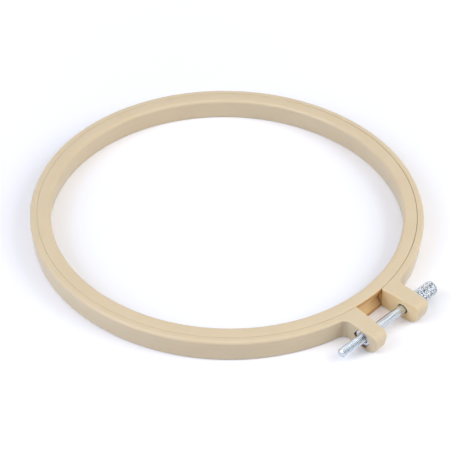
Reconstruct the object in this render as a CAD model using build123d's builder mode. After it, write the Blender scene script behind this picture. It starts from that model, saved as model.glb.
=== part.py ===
from build123d import *
import os
from math import cos, pi, radians, sin, tan

# Embroidery hoop: a split outer ring, drawn together by a thumbscrew and a nut, round a closed inner ring.
#
# Millimetres, +Z up. The origin is the hoop's centre, on the plane that the hoop lies on. The lugs of the
# outer ring point to -Y, and the thumbscrew lies along X with its head towards +X.

os.makedirs("parts", exist_ok=True)

# Both rings
ring_height = 10.5        # the rings lie flush, top and bottom
seam_radius = 82.0        # inside wall of the outer ring
seam_gap = 0.2            # between the rings, all round
seam_round = 0.25         # on both sides of the seam, top and bottom

# Outer ring
outer_wall = 3.0          # thickness at the top
outer_draft = 0.95        # how far the outside wall leans in, from top to bottom
outline_round = 1.2       # on every edge of the outer ring's outline, lugs included
rib_depth = 1.7           # the rib inside the outer ring keeps the inner ring level
rib_root = 6.9            # height of the rib where it leaves the wall
rib_crest = 2.3           # height of the rib's flat crest

# Inner ring
inner_wall = 6.05         # thickness at the top
inner_draft = 1.35        # how far the inside wall leans out, from top to bottom
inner_top_round = 1.5     # on the hoop's inside top edge
inner_foot_round = 0.7    # on its inside bottom edge
groove_play = 0.3         # room for the rib in the inner ring's groove

# Lugs of the outer ring
lug_length = 15.2         # from the ring's outside wall to the lugs' noses, at the top
lug_thickness = 7.7       # at the screw, at the top
lug_draft = 6.0           # degrees, on every side of the lugs
gap_half_width = 7.68     # at the seam, at the top; the gap's walls are radial
gap_round = 0.4           # on the gap's edges
nose_top_round = 3.0
nose_foot_round = 5.0
root_fillet = 2.8         # in the hollow corner between the ring and a lug
screw_hole = 4.8          # diameter of the clearance hole through both lugs

# Thumbscrew, M4 with a coarse thread
screw_setback = 8.2       # from the lugs' noses to the screw's axis
shank_diameter = 3.95     # of the plain shank and of the thread's crests
thread_length = 19.5
thread_in_gap = 0.5       # how much of the thread shows in the gap
thread_pitch = 0.7
thread_depth_share = 0.614  # of the pitch, as on every metric thread
thread_crest_share = 0.125  # of the pitch: the flat that each crest keeps
thread_flank = 30         # degrees, each side of a groove
tip_chamfer = 0.6
head_diameter = 6.4
head_length = 12.5
head_chamfer = 0.6
head_seat_gap = 0.05      # between the head and the lug that it bears on
knurl_ridges = 36
knurl_depth = 0.2
knurl_margin = 0.8        # plain band at each end of the knurl

# Nut, M4
nut_flats = 7.0
nut_thickness = 3.2
nut_chamfer = 0.5         # on the hexagon's corners, measured along a radius
nut_lead = 0.35           # countersink at both ends of its bore
nut_bore_gap = 0.08       # round the crests of the thread
pocket_depth = 4.1        # of the nut's pocket, at the height of the screw
pocket_play = 0.2         # between the nut's flats and the pocket
nut_floor_gap = 0.05      # between the nut and the floor of its pocket

cut_overrun = 5.0         # how far cutting shapes run past what they cut

outer_radius = seam_radius + outer_wall
wall_middle = seam_radius + (outer_wall - outer_draft) / 2
rib_radius = seam_radius - rib_depth
lip_radius = seam_radius - seam_gap
inner_radius = lip_radius - inner_wall
lug_reach = outer_radius + lug_length
lug_lean = tan(radians(lug_draft))
screw_reach = lug_reach - screw_setback
screw_height = ring_height / 2
gap_slope = gap_half_width / seam_radius
gap_at_screw = screw_reach * gap_slope
lug_half_width = gap_at_screw + lug_thickness
lean_at_screw = (ring_height - screw_height) * lug_lean
shank_radius = shank_diameter / 2
head_radius = head_diameter / 2
screw_axis = Axis((0, -screw_reach, screw_height), (1, 0, 0))
across_screw = Plane(screw_axis.position, x_dir=(0, 1, 0), z_dir=(1, 0, 0))
along_screw = Plane(screw_axis.position, x_dir=(1, 0, 0), z_dir=(0, 0, 1))

# Block that both lugs are cut from: it grows out of the ring's wall and ends in a rounded nose
with BuildPart() as lug_block:
    with BuildSketch(Plane.XY.offset(ring_height)):
        with BuildLine():
            Polyline(
                (-lug_half_width, -inner_radius),
                (-lug_half_width, -lug_reach),
                (lug_half_width, -lug_reach),
                (lug_half_width, -inner_radius),
                close=True,
            )
        make_face()
    extrude(amount=-ring_height, taper=lug_draft)
    nose_top = lug_block.edges().filter_by(Axis.X).group_by(Axis.Z)[-1].sort_by(Axis.Y)[0]
    fillet(nose_top, radius=nose_top_round)
    nose_foot = lug_block.edges().filter_by(Axis.X).group_by(Axis.Z)[0].sort_by(Axis.Y)[0]
    fillet(nose_foot, radius=nose_foot_round)
    with BuildSketch(Plane.XY):
        Circle(wall_middle)
    extrude(amount=ring_height, mode=Mode.SUBTRACT)

# Outer ring: one springy moulding, split between its two lugs
with BuildPart() as outer_ring:
    with BuildSketch(Plane.XZ):
        with BuildLine():
            Polyline(
                (seam_radius, ring_height),
                (outer_radius, ring_height),
                (outer_radius - outer_draft, 0),
                (seam_radius, 0),
                (seam_radius, screw_height - rib_root / 2),
                (rib_radius, screw_height - rib_crest / 2),
                (rib_radius, screw_height + rib_crest / 2),
                (seam_radius, screw_height + rib_root / 2),
                close=True,
            )
        make_face()
    revolve(axis=Axis.Z)
    add(lug_block.part)

    # Hollow corners where the lugs leave the ring
    corners = outer_ring.edges().filter_by_position(Axis.Y, -outer_radius, -inner_radius)
    corners = corners.filter_by(lambda edge: abs(edge.tangent_at(0.5).Z) > abs(edge.tangent_at(0.5).Y))
    fillet(corners, radius=root_fillet)

    # The split, and the gap between the lugs
    gap_far = lug_reach + cut_overrun
    with BuildSketch(Plane.XY.offset(ring_height)):
        with BuildLine():
            Polyline(
                (-inner_radius * gap_slope, -inner_radius),
                (-gap_far * gap_slope, -gap_far),
                (gap_far * gap_slope, -gap_far),
                (inner_radius * gap_slope, -inner_radius),
                close=True,
            )
        make_face()
    extrude(amount=-ring_height, taper=-lug_draft, mode=Mode.SUBTRACT)

    # Rounds along the whole outline, along the gap and along the seam
    top_circles = outer_ring.edges().filter_by(GeomType.CIRCLE).group_by(Axis.Z)[-1]
    fillet(top_circles.sort_by(lambda edge: edge.radius)[-1], radius=outline_round)
    gap_edges = outer_ring.edges().group_by(Axis.Z)[-1]
    gap_edges = gap_edges.filter_by(lambda edge: abs(edge.tangent_at(0.5).Y) > 0.9)
    fillet(gap_edges.sort_by(lambda edge: abs(edge.center().X))[:2], radius=gap_round)
    seam_edges = outer_ring.edges().filter_by(GeomType.CIRCLE)
    seam_edges = seam_edges.filter_by(lambda edge: abs(edge.radius - seam_radius) < seam_gap)
    seam_edges = seam_edges.group_by(Axis.Z)
    fillet(seam_edges[0] + seam_edges[-1], radius=seam_round)

    # Clearance hole through both lugs, and the pocket that keeps the nut from turning
    with BuildSketch(across_screw):
        Circle(screw_hole / 2)
    extrude(amount=lug_half_width, both=True, mode=Mode.SUBTRACT)
    pocket_floor = lug_half_width - lean_at_screw - pocket_depth
    with BuildSketch(across_screw.offset(-pocket_floor)):
        RegularPolygon(nut_flats / 2 + pocket_play, 6, major_radius=False)
    extrude(amount=-pocket_depth - cut_overrun, mode=Mode.SUBTRACT)

outer_ring.part.label = "outer_ring"
export_step(outer_ring.part, "parts/outer_ring.step")

# Inner ring: a closed ring, grooved on the outside for the rib
with BuildPart() as inner_ring:
    with BuildSketch(Plane.XZ) as inner_section:
        with BuildLine():
            Polyline(
                (inner_radius, ring_height),
                (lip_radius, ring_height),
                (lip_radius, screw_height + rib_root / 2 + groove_play),
                (rib_radius - groove_play, screw_height + rib_crest / 2 + groove_play),
                (rib_radius - groove_play, screw_height - rib_crest / 2 - groove_play),
                (lip_radius, screw_height - rib_root / 2 - groove_play),
                (lip_radius, 0),
                (inner_radius + inner_draft, 0),
                close=True,
            )
        make_face()
        fillet(inner_section.vertices().group_by(Axis.Y)[-1].sort_by(Axis.X)[0], radius=inner_top_round)
        fillet(inner_section.vertices().group_by(Axis.Y)[-1].sort_by(Axis.X)[-1], radius=seam_round)
        fillet(inner_section.vertices().group_by(Axis.Y)[0].sort_by(Axis.X)[0], radius=inner_foot_round)
        fillet(inner_section.vertices().group_by(Axis.Y)[0].sort_by(Axis.X)[-1], radius=seam_round)
    revolve(axis=Axis.Z)

inner_ring.part.label = "inner_ring"
export_step(inner_ring.part, "parts/inner_ring.step")

# Thumbscrew: knurled head, plain shank and threaded end, turned in one piece
head_seat = lug_half_width - lean_at_screw + head_radius * lug_lean + head_seat_gap
head_end = head_seat + head_length
thread_start = thread_in_gap - gap_at_screw - lean_at_screw
tip = thread_start - thread_length
knurl_start = head_seat + knurl_margin
knurl_end = head_end - knurl_margin
knurl_valley = head_radius - knurl_depth
knurl_core = knurl_valley - knurl_depth
knurl_step = 2 * pi / knurl_ridges
knurl_points = []
for ridge in range(knurl_ridges):
    knurl_points += [
        (head_radius * cos(ridge * knurl_step), head_radius * sin(ridge * knurl_step)),
        (knurl_valley * cos((ridge + 0.5) * knurl_step), knurl_valley * sin((ridge + 0.5) * knurl_step)),
    ]
thread_depth = thread_depth_share * thread_pitch
groove_width = thread_pitch * (1 - thread_crest_share)
groove_side = thread_depth * tan(radians(thread_flank))
thread_points = []
for turn in range(int((thread_length - tip_chamfer) / thread_pitch)):
    groove_start = thread_start - turn * thread_pitch
    thread_points += [
        (groove_start, shank_radius),
        (groove_start - groove_side, shank_radius - thread_depth),
        (groove_start - groove_width + groove_side, shank_radius - thread_depth),
        (groove_start - groove_width, shank_radius),
    ]

with BuildPart() as thumbscrew:
    with BuildSketch(along_screw):
        with BuildLine():
            Polyline(
                (head_end, 0),
                (head_end, head_radius - head_chamfer),
                (head_end - head_chamfer, head_radius),
                (knurl_end, head_radius),
                (knurl_end, knurl_core),
                (knurl_start, knurl_core),
                (knurl_start, head_radius),
                (head_seat + head_chamfer, head_radius),
                (head_seat, head_radius - head_chamfer),
                (head_seat, shank_radius),
                *thread_points,
                (tip + tip_chamfer, shank_radius),
                (tip, shank_radius - tip_chamfer),
                (tip, 0),
                close=True,
            )
        make_face()
    revolve(axis=screw_axis)

    # Knurl: a ring of ridges between two plain bands
    with BuildSketch(across_screw.offset(knurl_start)):
        with BuildLine():
            Polyline(*knurl_points, close=True)
        make_face()
    extrude(amount=knurl_end - knurl_start)

thumbscrew.part.label = "thumbscrew"
export_step(thumbscrew.part, "parts/thumbscrew.step")

# Nut: a hexagon with chamfered corners, held in the left lug
nut_inside = -pocket_floor - nut_floor_gap
nut_outside = nut_inside - nut_thickness
nut_bore = shank_radius + nut_bore_gap
nut_corner = nut_flats / 2 / cos(radians(30))
corner_drop = nut_chamfer * tan(radians(30))
with BuildPart() as nut:
    with BuildSketch(across_screw.offset(nut_inside)):
        RegularPolygon(nut_flats / 2, 6, major_radius=False)
    extrude(amount=-nut_thickness)
    with BuildSketch(along_screw):
        with BuildLine():
            Polyline(
                (nut_inside, nut_bore + nut_lead),
                (nut_inside, nut_corner - nut_chamfer),
                (nut_inside - corner_drop, nut_corner),
                (nut_outside + corner_drop, nut_corner),
                (nut_outside, nut_corner - nut_chamfer),
                (nut_outside, nut_bore + nut_lead),
                (nut_outside + nut_lead, nut_bore),
                (nut_inside - nut_lead, nut_bore),
                close=True,
            )
        make_face()
    revolve(axis=screw_axis, mode=Mode.INTERSECT)

nut.part.label = "nut"
export_step(nut.part, "parts/nut.step")
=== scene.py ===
from math import asin, atan2, cos, pi, radians, sin, sqrt, tan

import bmesh
import bpy
from mathutils import Matrix


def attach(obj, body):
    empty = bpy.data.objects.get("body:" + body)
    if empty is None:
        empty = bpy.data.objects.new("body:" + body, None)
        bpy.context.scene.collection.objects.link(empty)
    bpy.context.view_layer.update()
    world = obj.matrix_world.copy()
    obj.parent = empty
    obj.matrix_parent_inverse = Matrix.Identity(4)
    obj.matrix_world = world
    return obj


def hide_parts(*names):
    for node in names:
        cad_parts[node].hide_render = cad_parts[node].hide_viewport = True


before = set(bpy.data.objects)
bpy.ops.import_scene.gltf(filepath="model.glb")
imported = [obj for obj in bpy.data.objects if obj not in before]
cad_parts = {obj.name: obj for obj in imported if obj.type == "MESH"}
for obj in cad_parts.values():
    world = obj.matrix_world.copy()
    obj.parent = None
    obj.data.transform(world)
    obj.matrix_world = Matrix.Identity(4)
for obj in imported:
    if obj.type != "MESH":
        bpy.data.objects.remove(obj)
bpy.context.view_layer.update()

bpy.ops.object.select_all(action="DESELECT")

# Inner ring: the closed ring that the fabric is laid over, injection moulded in one piece of pale
# polypropylene. A groove round its outside takes the outer ring's rib, and the two rings lie flush.

mm = 0.001
ring_height = 10.5 * mm
middle_height = ring_height / 2
inner_top_radius = 75.75 * mm
inner_foot_radius = 77.1 * mm
lip_radius = 81.8 * mm
groove_radius = 80.0 * mm
groove_heights = [1.5 * mm, 3.8 * mm, 6.7 * mm, 9.0 * mm]
inner_top_round = 1.5 * mm
inner_foot_round = 0.7 * mm
lip_round = 0.2 * mm
ring_steps = 288
# How near two places are to count as one, when parts of a mesh are looked for or merged
touching = 0.01 * mm
hair = 0.001 * mm


def near(value, target, within=0.1 * mm):
    """Whether a part of the mesh lies where it is looked for, to within a distance."""
    return abs(value - target) < within


def radius_of(vertex):
    return sqrt(vertex.co.x ** 2 + vertex.co.y ** 2)


def select(piece, kind, wanted):
    """In edit mode, selects only those of the piece's VERT, EDGE or FACE parts that pass a test."""
    bpy.ops.mesh.select_mode(type=kind)
    bpy.ops.mesh.select_all(action="DESELECT")
    mesh = bmesh.from_edit_mesh(piece.data)
    for part in {"VERT": mesh.verts, "EDGE": mesh.edges, "FACE": mesh.faces}[kind]:
        if wanted(part):
            part.select_set(True)
    mesh.select_flush_mode()
    bmesh.update_edit_mesh(piece.data)


def move(piece, wanted, by):
    select(piece, "VERT", wanted)
    bpy.ops.transform.translate(value=by)


def scale(piece, wanted, by, about=(0, 0, 0)):
    select(piece, "VERT", wanted)
    bpy.ops.transform.resize(value=by, center_override=about)


def start_piece(name):
    """Names the primitive that was just added, puts its place into its mesh and opens it for editing."""
    piece = bpy.context.object
    piece.name = name
    piece.data.name = name
    bpy.ops.object.transform_apply(location=True, rotation=True, scale=True)
    bpy.ops.object.mode_set(mode="EDIT")
    return piece


def close_mesh():
    """Merges what lies in one place and turns every face outwards."""
    bpy.ops.mesh.select_mode(type="VERT")
    bpy.ops.mesh.select_all(action="SELECT")
    bpy.ops.mesh.remove_doubles(threshold=hair)
    bpy.ops.mesh.normals_make_consistent(inside=False)
    bpy.ops.mesh.select_all(action="DESELECT")


def ring_section(name, low_radius, high_radius, foot_radius, wall_radius, heights, crest_radius, angle):
    """A ring's cross-section, standing at an angle round Z, its wall at the seam bent at some heights."""
    middle = (low_radius + high_radius) / 2
    bpy.ops.mesh.primitive_plane_add(
        size=1,
        location=(middle * cos(angle), middle * sin(angle), middle_height),
        rotation=(pi / 2, 0, angle),
    )
    bpy.context.object.scale = (high_radius - low_radius, ring_height, 1)
    piece = start_piece(name)
    select(piece, "EDGE", lambda e: all(near(radius_of(v), wall_radius, mm) for v in e.verts))
    bpy.ops.mesh.subdivide(number_cuts=len(heights))
    for step, height in enumerate(heights, 1):
        even = ring_height * step / (len(heights) + 1)
        move(piece, lambda v: near(v.co.z, even), (0, 0, height - even))
    share = crest_radius / wall_radius
    scale(piece, lambda v: heights[0] + mm < v.co.z < heights[-1] - mm, (share, share, 1))
    plain_radius = low_radius + high_radius - wall_radius
    share = foot_radius / plain_radius
    scale(piece, lambda v: near(v.co.z, 0) and near(radius_of(v), plain_radius, mm), (share, share, 1))
    return piece


inner_ring = ring_section(
    "inner_ring_moulding",
    inner_top_radius,
    lip_radius,
    inner_foot_radius,
    lip_radius,
    groove_heights,
    groove_radius,
    -pi / 2,
)
for width, segments, radius, height in (
    (inner_top_round, 8, inner_top_radius, ring_height),
    (inner_foot_round, 5, inner_foot_radius, 0),
    (lip_round, 3, lip_radius, ring_height),
    (lip_round, 3, lip_radius, 0),
):
    select(inner_ring, "VERT", lambda v: near(radius_of(v), radius) and near(v.co.z, height))
    bpy.ops.mesh.bevel(offset=width, segments=segments, affect="VERTICES", profile=0.5)
bpy.ops.mesh.select_all(action="SELECT")
bpy.ops.mesh.spin(steps=ring_steps, angle=2 * pi, center=(0, 0, 0), axis=(0, 0, 1))
close_mesh()
# The cross-section that was turned still stands inside the ring, as its only many-sided face.
select(inner_ring, "FACE", lambda f: len(f.verts) > 6)
bpy.ops.mesh.delete(type="ONLY_FACE")
close_mesh()
bpy.ops.object.mode_set(mode="OBJECT")
bpy.ops.object.shade_smooth_by_angle(angle=radians(35))
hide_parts("inner_ring")
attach(inner_ring, "inner_ring")


def linear(hex_colour):
    """An sRGB colour such as d9c7a8, as the linear values that a shader's socket takes."""
    parts = [int(hex_colour[i:i + 2], 16) / 255 for i in (0, 2, 4)]
    return [c / 12.92 if c <= 0.04045 else ((c + 0.055) / 1.055) ** 2.4 for c in parts] + [1.0]


def add_node(owner, kind, settings=None, links=None):
    """Adds a shader node, sets its properties and sockets, and links its sockets to other nodes."""
    node = owner.node_tree.nodes.new(kind)
    for name, value in (settings or {}).items():
        if isinstance(name, str) and hasattr(node, name):
            setattr(node, name, value)
        else:
            node.inputs[name].default_value = value
    for socket, source in (links or {}).items():
        owner.node_tree.links.new(source, node.inputs[socket])
    return node


def new_material(name):
    material = bpy.data.materials.new(name)
    material.use_nodes = True
    material.node_tree.nodes.clear()
    return material


# Moulded polypropylene: satin from a finely etched mould, and milky, so that a little light sinks in.
# The warm glow of the shaded hollows is painted into its colour further down: painted light. The mould
# was turned on a lathe, which leaves faint marks round the hoop, and the colour drifts slightly along the
# flow of the plastic. The marks are drawn 0.5 mm wide, coarser than the real ones, so that they show.
plastic = new_material("moulded_polypropylene")
mark_width = 0.5 * mm
drift_size = 12 * mm
etch_grain = 0.35 * mm
relief = 0.02 * mm
place = add_node(plastic, "ShaderNodeTexCoord").outputs["Object"]
apart = add_node(plastic, "ShaderNodeSeparateXYZ", None, {0: place})
flat = add_node(plastic, "ShaderNodeCombineXYZ", None, {0: apart.outputs[0], 1: apart.outputs[1]})
reach = add_node(plastic, "ShaderNodeVectorMath", {"operation": "LENGTH"}, {0: flat.outputs[0]})
lathe = add_node(plastic, "ShaderNodeCombineXYZ", None, {0: reach.outputs["Value"], 1: apart.outputs[2]})
fine = 1 / mark_width
stretch = add_node(plastic, "ShaderNodeMapping", {"Scale": (fine, fine, 1)}, {0: lathe.outputs[0]})
marks = add_node(
    plastic,
    "ShaderNodeTexNoise",
    {"Scale": 1.0, "Detail": 1.0},
    {"Vector": stretch.outputs[0]},
)
drift = add_node(plastic, "ShaderNodeTexNoise", {"Scale": 1 / drift_size, "Detail": 3.0}, {"Vector": place})
both = add_node(
    plastic,
    "ShaderNodeMix",
    {"data_type": "FLOAT", 0: 0.5},
    {2: drift.outputs[0], 3: marks.outputs[0]},
)
tone = add_node(
    plastic,
    "ShaderNodeMix",
    {"data_type": "RGBA", 6: linear("d3be9c"), 7: linear("dfcdad")},
    {0: both.outputs[0]},
)
# A deeper, warmer colour is painted in the hollows: between the two rings, and between the lugs, below the
# top face. It is painted glow, standing in for light that passes through the milky plastic. At each of
# their edges, the colour sets in between the two places given here. Those at the gap are counted so that
# its leaning wall itself lies at 1.11 mm.
hollow_from_groove = (79.7 * mm, 79.9 * mm)
hollow_to_seam = (82.4 * mm, 82.05 * mm)
hollow_at_gap = (1.4 * mm, 1.15 * mm)
hollow_under_top = (ring_height - 0.01 * mm, ring_height - 0.2 * mm)
seam_middle = 81.9 * mm
seam_reach = 0.2 * mm
gap_half_width = 7.68 * mm
gap_radius = 82.0 * mm
gap_slope = gap_half_width / gap_radius
gap_angle = atan2(gap_half_width, gap_radius)
draft = radians(6)
lug_lean = tan(draft)
wide = add_node(plastic, "ShaderNodeMath", {"operation": "ABSOLUTE"}, {0: apart.outputs[0]})
folded = add_node(
    plastic,
    "ShaderNodeCombineXYZ",
    None,
    {0: wide.outputs[0], 1: apart.outputs[1], 2: apart.outputs[2]},
)
from_gap = add_node(
    plastic,
    "ShaderNodeVectorMath",
    {"operation": "DOT_PRODUCT", 1: (1, gap_slope, lug_lean / cos(gap_angle))},
    {0: folded.outputs[0]},
)
hollows = []
for source, (without, within) in (
    (reach.outputs["Value"], hollow_from_groove),
    (reach.outputs["Value"], hollow_to_seam),
    (from_gap.outputs["Value"], hollow_at_gap),
    (apart.outputs[2], hollow_under_top),
):
    edge = add_node(plastic, "ShaderNodeMapRange", {"From Min": without, "From Max": within}, {0: source})
    hollows.append(edge.outputs[0])
beyond_groove, inside_seam, in_gap, under_top = hollows
either = add_node(plastic, "ShaderNodeMath", {"operation": "MAXIMUM"}, {0: inside_seam, 1: in_gap})
outside = add_node(
    plastic,
    "ShaderNodeMath",
    {"operation": "MULTIPLY"},
    {0: beyond_groove, 1: either.outputs[0]},
)
below = add_node(
    plastic,
    "ShaderNodeMath",
    {"operation": "MULTIPLY"},
    {0: outside.outputs[0], 1: under_top},
)
# Painted glow: lighter on the gap's walls, deeper inside the seam.
painted_glow_tone = add_node(
    plastic,
    "ShaderNodeMix",
    {"data_type": "RGBA", 6: linear("eed5a6"), 7: linear("e2bd8a")},
    {0: inside_seam},
)
at_seam = add_node(
    plastic,
    "ShaderNodeMath",
    {"operation": "COMPARE", 1: seam_middle, 2: seam_reach},
    {0: reach.outputs["Value"]},
)
# Painted shade: the seam's crack is painted a darker brown.
painted_glow_and_seam_shade = add_node(
    plastic,
    "ShaderNodeMix",
    {"data_type": "RGBA", 7: linear("c9975a")},
    {0: at_seam.outputs[0], 6: painted_glow_tone.outputs[2]},
)
with_painted_glow = add_node(
    plastic,
    "ShaderNodeMix",
    {"data_type": "RGBA"},
    {0: below.outputs[0], 6: tone.outputs[2], 7: painted_glow_and_seam_shade.outputs[2]},
)
# Inside the screw's holes and the nut's pocket hardly any light is left: they are painted dark, as painted
# shade.
screw_reach = 92.0 * mm
pocket_reach = 4.4 * mm
bores_middle = 12.6 * mm
bores_half_length = 2.8 * mm
centred = add_node(
    plastic,
    "ShaderNodeMapping",
    {"Location": (0, screw_reach, -middle_height), "Scale": (0, 1, 1)},
    {0: place},
)
from_screw = add_node(plastic, "ShaderNodeVectorMath", {"operation": "LENGTH"}, {0: centred.outputs[0]})
bored = add_node(
    plastic,
    "ShaderNodeMath",
    {"operation": "LESS_THAN", 1: pocket_reach},
    {0: from_screw.outputs["Value"]},
)
at_bores = add_node(
    plastic,
    "ShaderNodeMath",
    {"operation": "COMPARE", 1: bores_middle, 2: bores_half_length},
    {0: wide.outputs[0]},
)
painted_bore_shade = add_node(
    plastic,
    "ShaderNodeMath",
    {"operation": "MULTIPLY"},
    {0: bored.outputs[0], 1: at_bores.outputs[0]},
)
coloured = add_node(
    plastic,
    "ShaderNodeMix",
    {"data_type": "RGBA", 7: linear("8f6a40")},
    {0: painted_bore_shade.outputs[0], 6: with_painted_glow.outputs[2]},
)
grain = add_node(plastic, "ShaderNodeTexNoise", {"Scale": 1 / etch_grain, "Detail": 2.0}, {"Vector": place})
etched = add_node(
    plastic,
    "ShaderNodeBump",
    {"Strength": 0.12, "Distance": relief},
    {"Height": grain.outputs[0]},
)
turned = add_node(
    plastic,
    "ShaderNodeBump",
    {"Strength": 0.25, "Distance": relief},
    {"Height": marks.outputs[0], "Normal": etched.outputs[0]},
)
satin = add_node(
    plastic,
    "ShaderNodeBsdfPrincipled",
    {
        "Roughness": 0.38,
        "IOR": 1.49,
        "Subsurface Weight": 0.3,
        "Subsurface Scale": 2.0 * mm,
        "Subsurface Radius": (1.0, 0.6, 0.4),
    },
    {"Base Color": coloured.outputs[2], "Normal": turned.outputs[0]},
)
add_node(plastic, "ShaderNodeOutputMaterial", None, {"Surface": satin.outputs[0]})
inner_ring.data.materials.append(plastic)

# Outer ring: the springy split ring, moulded in one piece with its rib and its two lugs. The lugs lean
# in on every side so that the moulding leaves its mould. Both are drilled by the mould for the screw,
# and the left one holds the nut in a six-sided pocket.

seam_radius = 81.87 * mm
seam_shift = (0.045 * mm, -0.045 * mm, 0)
outer_top_radius = 85.0 * mm
outer_foot_radius = 84.05 * mm
rib_radius = 80.3 * mm
rib_heights = [1.8 * mm, 4.1 * mm, 6.4 * mm, 8.7 * mm]
lug_half_width = 16.317 * mm
lug_reach = 100.2 * mm
foot_lean = ring_height * lug_lean
root_foot = lug_half_width - foot_lean
lug_angle = asin(lug_half_width / outer_top_radius)
lug_steps = 3
fillet_angle = radians(3.2)
wall_steps = 240
outline_round = 1.5 * mm
foot_round = 1.0 * mm
lug_round = 0.6 * mm
gap_round = 0.4 * mm
seam_round = 0.14 * mm
round_fade = radians(12)

outer_ring = ring_section(
    "outer_ring_moulding",
    seam_radius,
    outer_top_radius,
    outer_foot_radius,
    seam_radius,
    rib_heights,
    rib_radius,
    gap_angle - pi / 2,
)
bpy.ops.mesh.select_all(action="SELECT")
for steps, angle in (
    (lug_steps, lug_angle - gap_angle),
    (1, fillet_angle),
    (wall_steps, 2 * (pi - lug_angle - fillet_angle)),
    (1, fillet_angle),
    (lug_steps, lug_angle - gap_angle),
):
    bpy.ops.mesh.spin(steps=steps, angle=angle, center=(0, 0, 0), axis=(0, 0, -1))


def angle_from_front(point):
    return atan2(point.x, -point.y)


# The lugs are drawn out of the wall to the plane of their noses.
select(
    outer_ring,
    "FACE",
    lambda f: f.calc_center_median().xy.length > outer_foot_radius
    and gap_angle < abs(angle_from_front(f.calc_center_median())) < lug_angle,
)
bpy.ops.mesh.extrude_region_move(TRANSFORM_OT_translate={"value": (0, outer_top_radius - lug_reach, 0)})
bpy.ops.transform.resize(value=(1, 0, 1), center_override=(0, -lug_reach, 0))
nose_share = (lug_half_width - lug_reach * gap_slope) / (lug_half_width - outer_top_radius * sin(gap_angle))


def at_nose(vertex):
    return vertex.co.y < 2 * mm - lug_reach


def at_nose_foot(vertex):
    return at_nose(vertex) and vertex.co.z < mm


def at_gap_wall(vertex, side):
    return near(side * vertex.co.x, -vertex.co.y * gap_slope)


scale(outer_ring, at_nose_foot, (outer_top_radius / outer_foot_radius, 1, 1))
for side in (-1, 1):
    scale(
        outer_ring,
        lambda v: at_nose(v) and v.co.x * side > 0,
        (nose_share, 1, 1),
        (side * lug_half_width, 0, 0),
    )
    # Draft: the foot of the outer side, at the nose and at the root
    move(
        outer_ring,
        lambda v: at_nose_foot(v) and v.co.x * side > lug_half_width - 0.1 * mm,
        (-side * foot_lean, 0, 0),
    )
    move(
        outer_ring,
        lambda v: near(v.co.z, 0)
        and near(radius_of(v), outer_foot_radius, touching)
        and near(side * angle_from_front(v.co), lug_angle, radians(0.1)),
        (
            side * (root_foot - outer_foot_radius * sin(lug_angle)),
            outer_foot_radius * cos(lug_angle) - sqrt(outer_foot_radius ** 2 - root_foot ** 2),
            0,
        ),
    )
    # Draft: the nose's foot slides in along the gap's wall, and that wall leans at each of its heights
    move(
        outer_ring,
        lambda v: at_nose_foot(v) and at_gap_wall(v, side),
        (-side * gap_slope * foot_lean, 0, 0),
    )
    move(outer_ring, lambda v: at_nose_foot(v) and v.co.x * side > 0, (0, foot_lean, 0))
    for height in [0.0] + rib_heights:
        lean = (ring_height - height) * lug_lean
        move(
            outer_ring,
            lambda v: near(v.co.z, height) and at_gap_wall(v, side),
            (side * lean * cos(gap_angle), lean * sin(gap_angle), 0),
        )
scale(outer_ring, at_nose_foot, (1, 0, 1), (0, foot_lean - lug_reach, 0))

# Flat faces at the lugs become one each, so that the rounds run clean.
behind_lugs = -78 * mm
close_mesh()
select(
    outer_ring,
    "FACE",
    lambda f: f.calc_center_median().y < behind_lugs
    and abs(f.calc_center_median().x) < outer_top_radius * sin(lug_angle + fillet_angle),
)
bpy.ops.mesh.dissolve_limited(angle_limit=radians(0.4), use_dissolve_boundaries=False)


def height_span(edge):
    return abs(edge.verts[0].co.z - edge.verts[1].co.z)


def edge_middle(edge):
    return (edge.verts[0].co + edge.verts[1].co) / 2


# Hollow corners at the lugs' roots, then the two rounds of the noses
root_middle = -83 * mm
root_fillet = 2.31 * mm
nose_line = -98.9 * mm
nose_top_round = 3.33 * mm
nose_foot_round = 4.5 * mm
select(
    outer_ring,
    "EDGE",
    lambda e: height_span(e) > ring_height / 2
    and near(edge_middle(e).y, root_middle, mm)
    and near(abs(edge_middle(e).x), lug_half_width - foot_lean / 2, 0.6 * mm),
)
bpy.ops.mesh.bevel(offset=root_fillet, segments=7, affect="EDGES", profile=0.5, clamp_overlap=False)
for height, round_reach in ((ring_height, nose_top_round), (0, nose_foot_round)):
    select(
        outer_ring,
        "EDGE",
        lambda e: edge_middle(e).y < nose_line and all(near(v.co.z, height, touching) for v in e.verts),
    )
    bpy.ops.mesh.bevel(offset=round_reach, segments=9, affect="EDGES", profile=0.5, clamp_overlap=False)


def outline_width(edge):
    """How wide an edge of the moulding is rounded: soft on the ring, crisper on the lugs and the gap."""
    if not edge.is_manifold or edge.calc_face_angle() < radians(30) or not edge.is_convex:
        return 0
    middle = edge_middle(edge)
    radius = middle.xy.length
    at_gap = any(
        near(abs(face.normal.x), cos(gap_angle) * cos(draft), 0.004) and face.normal.x * middle.x < 0
        for face in edge.link_faces
    )
    if at_gap:
        return gap_round
    if radius < seam_radius + 0.2 * mm:
        return seam_round
    ring_round = outline_round if middle.z > middle_height else foot_round
    from_lug = abs(angle_from_front(middle)) - lug_angle - fillet_angle
    return lug_round + (ring_round - lug_round) * min(max(from_lug / round_fade, 0), 1)


mesh = bmesh.from_edit_mesh(outer_ring.data)
mesh.normal_update()
widths = sorted({round(outline_width(e), 6) for e in mesh.edges} - {0})
for width in widths:
    select(outer_ring, "EDGE", lambda e: round(outline_width(e), 6) == width)
    bpy.ops.transform.edge_bevelweight(value=width / outline_round)
bpy.ops.object.mode_set(mode="OBJECT")
rounds = outer_ring.modifiers.new("rounds", "BEVEL")
rounds.limit_method = "WEIGHT"
rounds.width = outline_round
rounds.segments = 5
rounds.use_clamp_overlap = False
bpy.ops.object.modifier_apply(modifier="rounds")

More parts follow.
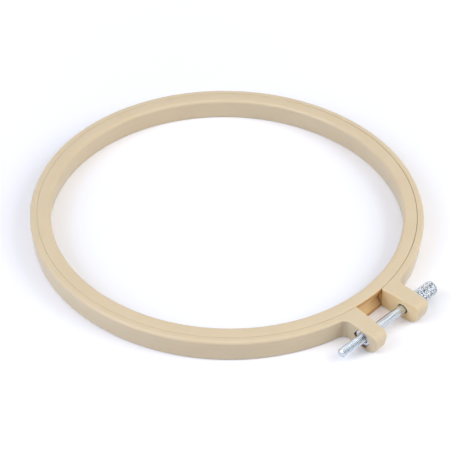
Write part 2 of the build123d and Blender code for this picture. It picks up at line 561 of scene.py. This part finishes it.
# Its spring draws the outer ring against the inner one at the back left, which opens the seam opposite.
bpy.ops.object.mode_set(mode="EDIT")
move(outer_ring, lambda v: radius_of(v) < seam_radius + 2 * seam_round, seam_shift)
bpy.ops.object.mode_set(mode="OBJECT")

screw_place = (0, -screw_reach, middle_height)
screw_hole = 2.4 * mm
pocket_flats = 7.4 * mm
pocket_corner = pocket_flats / sqrt(3)
pocket_floor = -11.665 * mm
past_lugs = 20 * mm
rim_break = 0.15 * mm
round_sides = 64


def add_bar(sides, radius, low, high):
    """A cylinder or prism along the screw's axis, from one place on X to another, a corner to the front."""
    bpy.ops.mesh.primitive_cylinder_add(
        vertices=sides,
        radius=radius,
        depth=high - low,
        location=((low + high) / 2, -screw_reach, middle_height),
        rotation=(0, pi / 2, 0),
    )


def combine(piece, other, operation):
    """Cuts the other mesh out of the piece, keeps what they share, or joins the two; the other one goes."""
    step = piece.modifiers.new("combine", "BOOLEAN")
    step.operation = operation
    step.solver = "EXACT"
    step.object = other
    bpy.context.view_layer.objects.active = piece
    bpy.ops.object.modifier_apply(modifier="combine")
    bpy.data.objects.remove(other)


def from_axis(point):
    return sqrt((point.y + screw_reach) ** 2 + (point.z - middle_height) ** 2)


# The core pins of the mould leave the clearance hole and the nut's pocket, with their rims just broken.
add_bar(round_sides, screw_hole, -past_lugs, past_lugs)
combine(outer_ring, bpy.context.object, "DIFFERENCE")
add_bar(6, pocket_corner, -past_lugs, pocket_floor)
combine(outer_ring, bpy.context.object, "DIFFERENCE")
bpy.ops.object.mode_set(mode="EDIT")
close_mesh()
select(
    outer_ring,
    "EDGE",
    lambda e: e.is_convex
    and e.calc_face_angle(0) > radians(45)
    and all(from_axis(v.co) < pocket_corner + 0.05 * mm for v in e.verts),
)
bpy.ops.mesh.bevel(offset=rim_break, segments=2, affect="EDGES", profile=0.5, clamp_overlap=True)
bpy.ops.object.mode_set(mode="OBJECT")


def shade(piece, sharp_above):
    """Smooth shading up to an angle in degrees, with the flat faces kept flat beside their rounds."""
    bpy.context.view_layer.objects.active = piece
    piece.select_set(True)
    bpy.ops.object.shade_smooth_by_angle(angle=radians(sharp_above))
    weights = piece.modifiers.new("weights", "WEIGHTED_NORMAL")
    weights.keep_sharp = True
    bpy.ops.object.modifier_apply(modifier="weights")
    piece.select_set(False)


shade(outer_ring, 35)
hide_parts("outer_ring")
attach(outer_ring, "outer_ring")
outer_ring.data.materials.clear()
outer_ring.data.materials.append(plastic)

# Nut: an M4 hexagon nut of bright zinc-plated steel, dropped into the left lug's pocket, which keeps it
# from turning. Its corners are chamfered on both faces, and its bore is countersunk.

nut_inside = -11.715 * mm
nut_outside = -14.915 * mm
nut_flats = 7.0 * mm
nut_corner = nut_flats / 2 / cos(radians(30))
nut_chamfer = 0.5 * mm
chamfer_depth = nut_chamfer * tan(radians(30))
nut_bore = 2.055 * mm
countersink = 0.35 * mm
barrel_sides = 96

add_bar(6, nut_corner, nut_outside, nut_inside)
nut = start_piece("hexagon_nut")
bpy.ops.object.mode_set(mode="OBJECT")
add_bar(barrel_sides, nut_corner, nut_outside + chamfer_depth, nut_inside - chamfer_depth)
barrel = start_piece("nut_chamfers")
chamfer_share = (nut_corner - nut_chamfer) / nut_corner
for face, out in ((nut_inside, chamfer_depth), (nut_outside, -chamfer_depth)):
    select(
        barrel,
        "FACE",
        lambda f: near(f.calc_center_median().x, face - out, touching) and len(f.verts) > 4,
    )
    bpy.ops.mesh.extrude_region_move(TRANSFORM_OT_translate={"value": (out, 0, 0)})
    bpy.ops.transform.resize(value=(1, chamfer_share, chamfer_share), center_override=screw_place)
bpy.ops.object.mode_set(mode="OBJECT")
combine(nut, barrel, "INTERSECT")
add_bar(round_sides, nut_bore, nut_outside - mm, nut_inside + mm)
combine(nut, bpy.context.object, "DIFFERENCE")
bpy.ops.object.mode_set(mode="EDIT")
close_mesh()
select(
    nut,
    "EDGE",
    lambda e: near(e.verts[0].co.x, e.verts[1].co.x, touching)
    and all(near(from_axis(v.co), nut_bore, 0.05 * mm) for v in e.verts),
)
bpy.ops.mesh.bevel(offset=countersink, segments=1, affect="EDGES", clamp_overlap=False)
close_mesh()
bpy.ops.object.mode_set(mode="OBJECT")
shade(nut, 28)
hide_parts("nut")
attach(nut, "nut")

# Bright zinc plate on turned steel: a slightly blue mirror, softened by the plate's grain and by the
# tool's marks, which run round the bar and so lie across X. Lighter and darker streaks along the bar are a
# painted sheen. The thread's roots and the knurl's valleys are painted darker, as painted shade.
zinc = new_material("bright_zinc_plate")
tool_mark_size = (0.12 * mm, 6 * mm, 6 * mm)
tool_mark_depth = 0.01 * mm
haze_size = 1.5 * mm
streak_size = (8 * mm, 0.5 * mm, 0.5 * mm)
place = add_node(zinc, "ShaderNodeTexCoord").outputs["Object"]
across = add_node(
    zinc,
    "ShaderNodeMapping",
    {"Scale": tuple(1 / size for size in tool_mark_size)},
    {0: place},
)
tool_marks = add_node(
    zinc,
    "ShaderNodeTexNoise",
    {"Scale": 1.0, "Detail": 2.0},
    {"Vector": across.outputs[0]},
)
ridges = add_node(
    zinc,
    "ShaderNodeBump",
    {"Strength": 0.25, "Distance": tool_mark_depth},
    {"Height": tool_marks.outputs[0]},
)
cloud = add_node(zinc, "ShaderNodeTexNoise", {"Scale": 1 / haze_size, "Detail": 3.0}, {"Vector": place})
haze = add_node(zinc, "ShaderNodeMapRange", {"To Min": 0.18, "To Max": 0.34}, {0: cloud.outputs[0]})
centred = add_node(
    zinc,
    "ShaderNodeMapping",
    {"Location": (0, screw_reach, -middle_height), "Scale": (0, 1, 1)},
    {0: place},
)
off_axis = add_node(zinc, "ShaderNodeVectorMath", {"operation": "LENGTH"}, {0: centred.outputs[0]})
split = add_node(zinc, "ShaderNodeSeparateXYZ", None, {0: place})
along_bar = add_node(zinc, "ShaderNodeMapping", {"Scale": tuple(1 / size for size in streak_size)}, {0: place})
streaks = add_node(zinc, "ShaderNodeTexNoise", {"Scale": 1.0, "Detail": 2.0}, {"Vector": along_bar.outputs[0]})
# Painted sheen: the shank is lighter and darker in streaks along the bar.
plain = add_node(
    zinc,
    "ShaderNodeMapRange",
    {"From Min": 0.3, "From Max": 0.7, "To Min": 0.48, "To Max": 0.85},
    {0: streaks.outputs[0]},
)
# The painted shade thins out between two distances from the axis, over a stretch given by its middle and
# half length.
thread_root_shade = (1.45 * mm, 1.9 * mm)
thread_stretch = (-18.2 * mm, 9.5 * mm)
knurl_valley_shade = (3.0 * mm, 3.1 * mm)
knurl_stretch = (21.95 * mm, 5.8 * mm)
in_thread = add_node(
    zinc,
    "ShaderNodeMapRange",
    {"From Min": thread_root_shade[0], "From Max": thread_root_shade[1]},
    {0: off_axis.outputs["Value"]},
)
pressed = add_node(
    zinc,
    "ShaderNodeMapRange",
    {"From Min": knurl_valley_shade[0], "From Max": knurl_valley_shade[1], "To Min": 0.75},
    {0: off_axis.outputs["Value"]},
)
# Over the knurl, patches are painted darker, drawn 0.4 mm across so that they show: a painted speckle of
# shade among its small faces.
patch_size = 0.4 * mm
patches = add_node(zinc, "ShaderNodeTexNoise", {"Scale": 1 / patch_size, "Detail": 1.0}, {"Vector": place})
knurl_speckle_shade = add_node(zinc, "ShaderNodeMapRange", {"From Min": 0.4, "From Max": 0.55}, {0: patches.outputs[0]})
in_knurl = add_node(
    zinc,
    "ShaderNodeMath",
    {"operation": "MULTIPLY"},
    {0: pressed.outputs[0], 1: knurl_speckle_shade.outputs[0]},
)
bright = plain.outputs[0]
for (middle, half_length), source in ((thread_stretch, in_thread), (knurl_stretch, in_knurl)):
    part = add_node(
        zinc,
        "ShaderNodeMath",
        {"operation": "COMPARE", 1: middle, 2: half_length},
        {0: split.outputs[0]},
    )
    bright = add_node(
        zinc,
        "ShaderNodeMix",
        {"data_type": "FLOAT"},
        {0: part.outputs[0], 2: bright, 3: source.outputs[0]},
    ).outputs[0]
metal = add_node(
    zinc,
    "ShaderNodeMix",
    {"data_type": "RGBA", 6: linear("4a525b"), 7: linear("edf4fb")},
    {0: bright},
)
plate = add_node(
    zinc,
    "ShaderNodeBsdfPrincipled",
    {"Metallic": 1.0},
    {"Base Color": metal.outputs[2], "Roughness": haze.outputs[0], "Normal": ridges.outputs[0]},
)
add_node(zinc, "ShaderNodeOutputMaterial", None, {"Surface": plate.outputs[0]})
nut.data.materials.clear()
nut.data.materials.append(zinc)

# Thumbscrew: turned from one steel bar, with a diamond-knurled head to grip, a plain shank in the gap and
# an M4 thread rolled on its far end, then zinc plated. It passes through both lugs and into the nut.

shank_radius = 1.975 * mm
crest_radius = 1.96 * mm
thread_start = -8.669 * mm
tip = -28.169 * mm
tip_chamfer = 0.6 * mm
pitch = 0.7 * mm
crest_flat = pitch / 8
thread_depth = 0.614 * pitch
flank_run = thread_depth * tan(radians(30))
head_radius = 3.2 * mm
head_seat = 16.151 * mm
head_end = 28.15 * mm
head_chamfer = 0.3 * mm
head_round = 1.0 * mm
knurl_columns = 60
knurl_rows = 34
knurl_depth = 0.2 * mm

# The head: every other point of a fine grid is pressed in, which leaves rows of small pyramids.
add_bar(knurl_columns, head_radius, head_seat, head_end)
thumbscrew = start_piece("thumbscrew_turned")
select(thumbscrew, "EDGE", lambda e: all(near(v.co.x, head_seat, touching) for v in e.verts))
bpy.ops.mesh.bevel(offset=head_chamfer, segments=2, affect="EDGES", profile=0.5)
select(thumbscrew, "EDGE", lambda e: not near(e.verts[0].co.x, e.verts[1].co.x, 5 * mm))
bpy.ops.mesh.subdivide(number_cuts=knurl_rows - 1)
knurl_start = head_seat + head_chamfer
knurl_row = (head_end - knurl_start) / knurl_rows
# Its end is domed at the edge: the last rows draw in along a round.
domed_rows = 4
for row in range(domed_rows):
    out = max(head_round - row * knurl_row, 0)
    share = 1 - (head_round - sqrt(head_round ** 2 - out ** 2)) / head_radius
    scale(
        thumbscrew,
        lambda v: near(v.co.x, head_end - row * knurl_row, touching),
        (1, share, share),
        screw_place,
    )


def pressed_in(vertex):
    """Every other point of the head's grid, as on a chessboard, except at its two ends."""
    row = (vertex.co.x - knurl_start) / knurl_row
    turn = atan2(vertex.co.z - middle_height, vertex.co.y + screw_reach) / (2 * pi)
    return -0.01 < row < knurl_rows - 0.5 and (round(row) + round(turn * knurl_columns)) % 2 == 1


select(thumbscrew, "VERT", pressed_in)
press = (head_radius - knurl_depth) / head_radius
bpy.ops.transform.resize(value=(1, press, press), center_override=screw_place)
select(thumbscrew, "FACE", lambda f: len(f.verts) == 4)
bpy.ops.mesh.quads_convert_to_tris(quad_method="SHORTEST_DIAGONAL")
close_mesh()
bpy.ops.object.mode_set(mode="OBJECT")

# The thread: one pitch of its outline, drawn round and along the axis, then cut off square at both ends.
thread_sides = 48
bpy.ops.mesh.primitive_plane_add(size=1, location=(pitch / 2, 0, crest_radius))
bpy.context.object.scale = (pitch, pitch, 1)
thread = start_piece("rolled_thread")
select(thread, "VERT", lambda v: v.co.y > 0)
bpy.ops.mesh.delete(type="VERT")
bpy.ops.mesh.select_all(action="SELECT")
bpy.ops.transform.resize(value=(1, 0, 1), center_override=(0, 0, 0))
bpy.ops.mesh.subdivide(number_cuts=3)
for step, along_pitch, depth in (
    (1, crest_flat, 0),
    (2, crest_flat + flank_run, thread_depth),
    (3, pitch - flank_run, thread_depth),
):
    move(
        thread,
        lambda v: near(v.co.x, step * pitch / 4, hair) and v.co.z > crest_radius - hair,
        (along_pitch - step * pitch / 4, 0, -depth),
    )
bpy.ops.object.mode_set(mode="OBJECT")
turns = round((thread_start - tip) / pitch) + 3
helix = thread.modifiers.new("helix", "SCREW")
helix.axis = "X"
helix.angle = 2 * pi
helix.screw_offset = pitch
helix.iterations = turns
helix.steps = thread_sides
helix.render_steps = thread_sides
helix.use_merge_vertices = True
helix.merge_threshold = hair
bpy.ops.object.modifier_apply(modifier="helix")
bpy.ops.object.mode_set(mode="EDIT")
close_mesh()
bpy.ops.mesh.select_all(action="SELECT")
bpy.ops.transform.translate(value=(tip - 1.5 * pitch, -screw_reach, middle_height))
for cut, way in ((tip, -1), (thread_start, 1)):
    bpy.ops.mesh.select_all(action="SELECT")
    bpy.ops.mesh.bisect(
        plane_co=(cut, 0, 0),
        plane_no=(way, 0, 0),
        use_fill=True,
        clear_outer=True,
        threshold=hair / 10,
    )
close_mesh()
bpy.ops.object.mode_set(mode="OBJECT")
# Its tip is pointed by what it shares with a slightly thicker bar that has a chamfered end.
past_crest = 0.2 * mm
add_bar(round_sides, crest_radius + past_crest, tip, thread_start + mm)
pointed = start_piece("pointed_bar")
select(pointed, "EDGE", lambda e: all(near(v.co.x, tip, touching) for v in e.verts))
bpy.ops.mesh.bevel(offset=tip_chamfer + past_crest, segments=1, affect="EDGES")
bpy.ops.object.mode_set(mode="OBJECT")
combine(thread, pointed, "INTERSECT")

# Head, shank and thread are one bar, so the shank runs a little way into both the others.
into_thread = 0.3 * mm
into_head = 1.0 * mm
add_bar(round_sides, shank_radius, thread_start - into_thread, head_seat + into_head)
combine(thumbscrew, bpy.context.object, "UNION")
combine(thumbscrew, thread, "UNION")
bpy.ops.object.mode_set(mode="EDIT")
close_mesh()
# The many-sided faces that the joins leave are split here, because an export may fold them at the tip.
select(thumbscrew, "FACE", lambda f: len(f.verts) > 4)
bpy.ops.mesh.quads_convert_to_tris(ngon_method="BEAUTY")
bpy.ops.object.mode_set(mode="OBJECT")
shade(thumbscrew, 28)
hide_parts("thumbscrew")
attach(thumbscrew, "thumbscrew")
thumbscrew.data.materials.clear()
thumbscrew.data.materials.append(zinc)

# Camera at the photograph's place, from the fit of the rings' edges
camera_azimuth = radians(-45.5)
camera_elevation = radians(40.62)
camera_roll = radians(1.06)
camera_offset = (1.4 * mm, -2.96 * mm, 701.2 * mm)
lens = bpy.data.cameras.new("photograph_view")
lens.sensor_width = 36
lens.lens = 125.85
camera = bpy.data.objects.new("photograph_view", lens)
bpy.context.scene.collection.objects.link(camera)
around = Matrix.Rotation(camera_azimuth, 4, "Z") @ Matrix.Rotation(pi / 2 - camera_elevation, 4, "X")
camera.matrix_world = around @ Matrix.Translation(camera_offset) @ Matrix.Rotation(camera_roll, 4, "Z")
lens.clip_start = 0.01
lens.clip_end = 20
bpy.context.scene.camera = camera
bpy.context.scene.view_settings.view_transform = "Standard"

# Floor: a white table top. To the camera it looks brighter than it is to the light, and more so further
# out, so that the hoop's shadow stays on it while all round it is plain white, as in a studio picture.
bpy.ops.mesh.primitive_plane_add(size=8)
floor = bpy.context.object
floor.name = "floor"
paper = new_material("white_table_top")


def seen_directly(owner):
    """1 for a ray from the camera, a mirror or glass, which shows white surroundings, and 0 for light."""
    path = add_node(owner, "ShaderNodeLightPath")
    either = add_node(
        owner,
        "ShaderNodeMath",
        {"operation": "MAXIMUM"},
        {0: path.outputs["Is Camera Ray"], 1: path.outputs["Is Glossy Ray"]},
    )
    return add_node(
        owner,
        "ShaderNodeMath",
        {"operation": "MAXIMUM"},
        {0: either.outputs[0], 1: path.outputs["Is Transmission Ray"]},
    ).outputs[0]


seen = seen_directly(paper)
top = add_node(
    paper,
    "ShaderNodeMix",
    {"data_type": "RGBA", 6: linear("dfe0e5"), 7: linear("f8f8fc")},
    {0: seen},
)
matt = add_node(paper, "ShaderNodeBsdfDiffuse", None, {"Color": top.outputs[2]})
on_floor = add_node(paper, "ShaderNodeTexCoord").outputs["Object"]
from_hoop = add_node(paper, "ShaderNodeVectorMath", {"operation": "LENGTH"}, {0: on_floor})
far = add_node(
    paper,
    "ShaderNodeMapRange",
    {"From Min": 0.08, "From Max": 1.2, "To Min": 0.06, "To Max": 0.9},
    {0: from_hoop.outputs["Value"]},
)
lift = add_node(paper, "ShaderNodeMath", {"operation": "MULTIPLY"}, {0: far.outputs[0], 1: seen})
glow = add_node(paper, "ShaderNodeEmission", {"Color": linear("ffffff")}, {"Strength": lift.outputs[0]})
lit = add_node(paper, "ShaderNodeAddShader", None, {0: matt.outputs[0], 1: glow.outputs[0]})
add_node(paper, "ShaderNodeOutputMaterial", None, {"Surface": lit.outputs[0]})
floor.data.materials.append(paper)

# Studio light: a white room that gives little light of its own, a large soft box overhead, and a panel on
# either side, the left one slightly blue. The right panel lights the hoop but isn't mirrored in the screw.
world = bpy.data.worlds.new("white_room")
bpy.context.scene.world = world
world.use_nodes = True
world.node_tree.nodes.clear()
level = add_node(world, "ShaderNodeMapRange", {"To Min": 0.14, "To Max": 1.0}, {0: seen_directly(world)})
room = add_node(world, "ShaderNodeBackground", {"Color": linear("ffffff")}, {"Strength": level.outputs[0]})
add_node(world, "ShaderNodeOutputWorld", None, {"Surface": room.outputs[0]})
for name, size, power, tint, position in (
    ("soft_box", 1.6, 7.1, "fff8f2", (-0.12, -0.16, 1.2)),
    ("left_panel", 0.9, 10.3, "dfeaff", (-0.95, 0.3, 0.66)),
    ("right_panel", 0.9, 10.1, "f4f9ff", (0.51, -0.83, 0.69)),
):
    lamp = bpy.data.lights.new(name, "AREA")
    lamp.shape = "SQUARE"
    lamp.size = size
    lamp.energy = power
    lamp.color = linear(tint)[:3]
    holder = bpy.data.objects.new(name, lamp)
    bpy.context.scene.collection.objects.link(holder)
    holder.location = position
    holder.visible_glossy = name != "right_panel"
    holder.rotation_euler = (-holder.location).to_track_quat("-Z", "Y").to_euler()
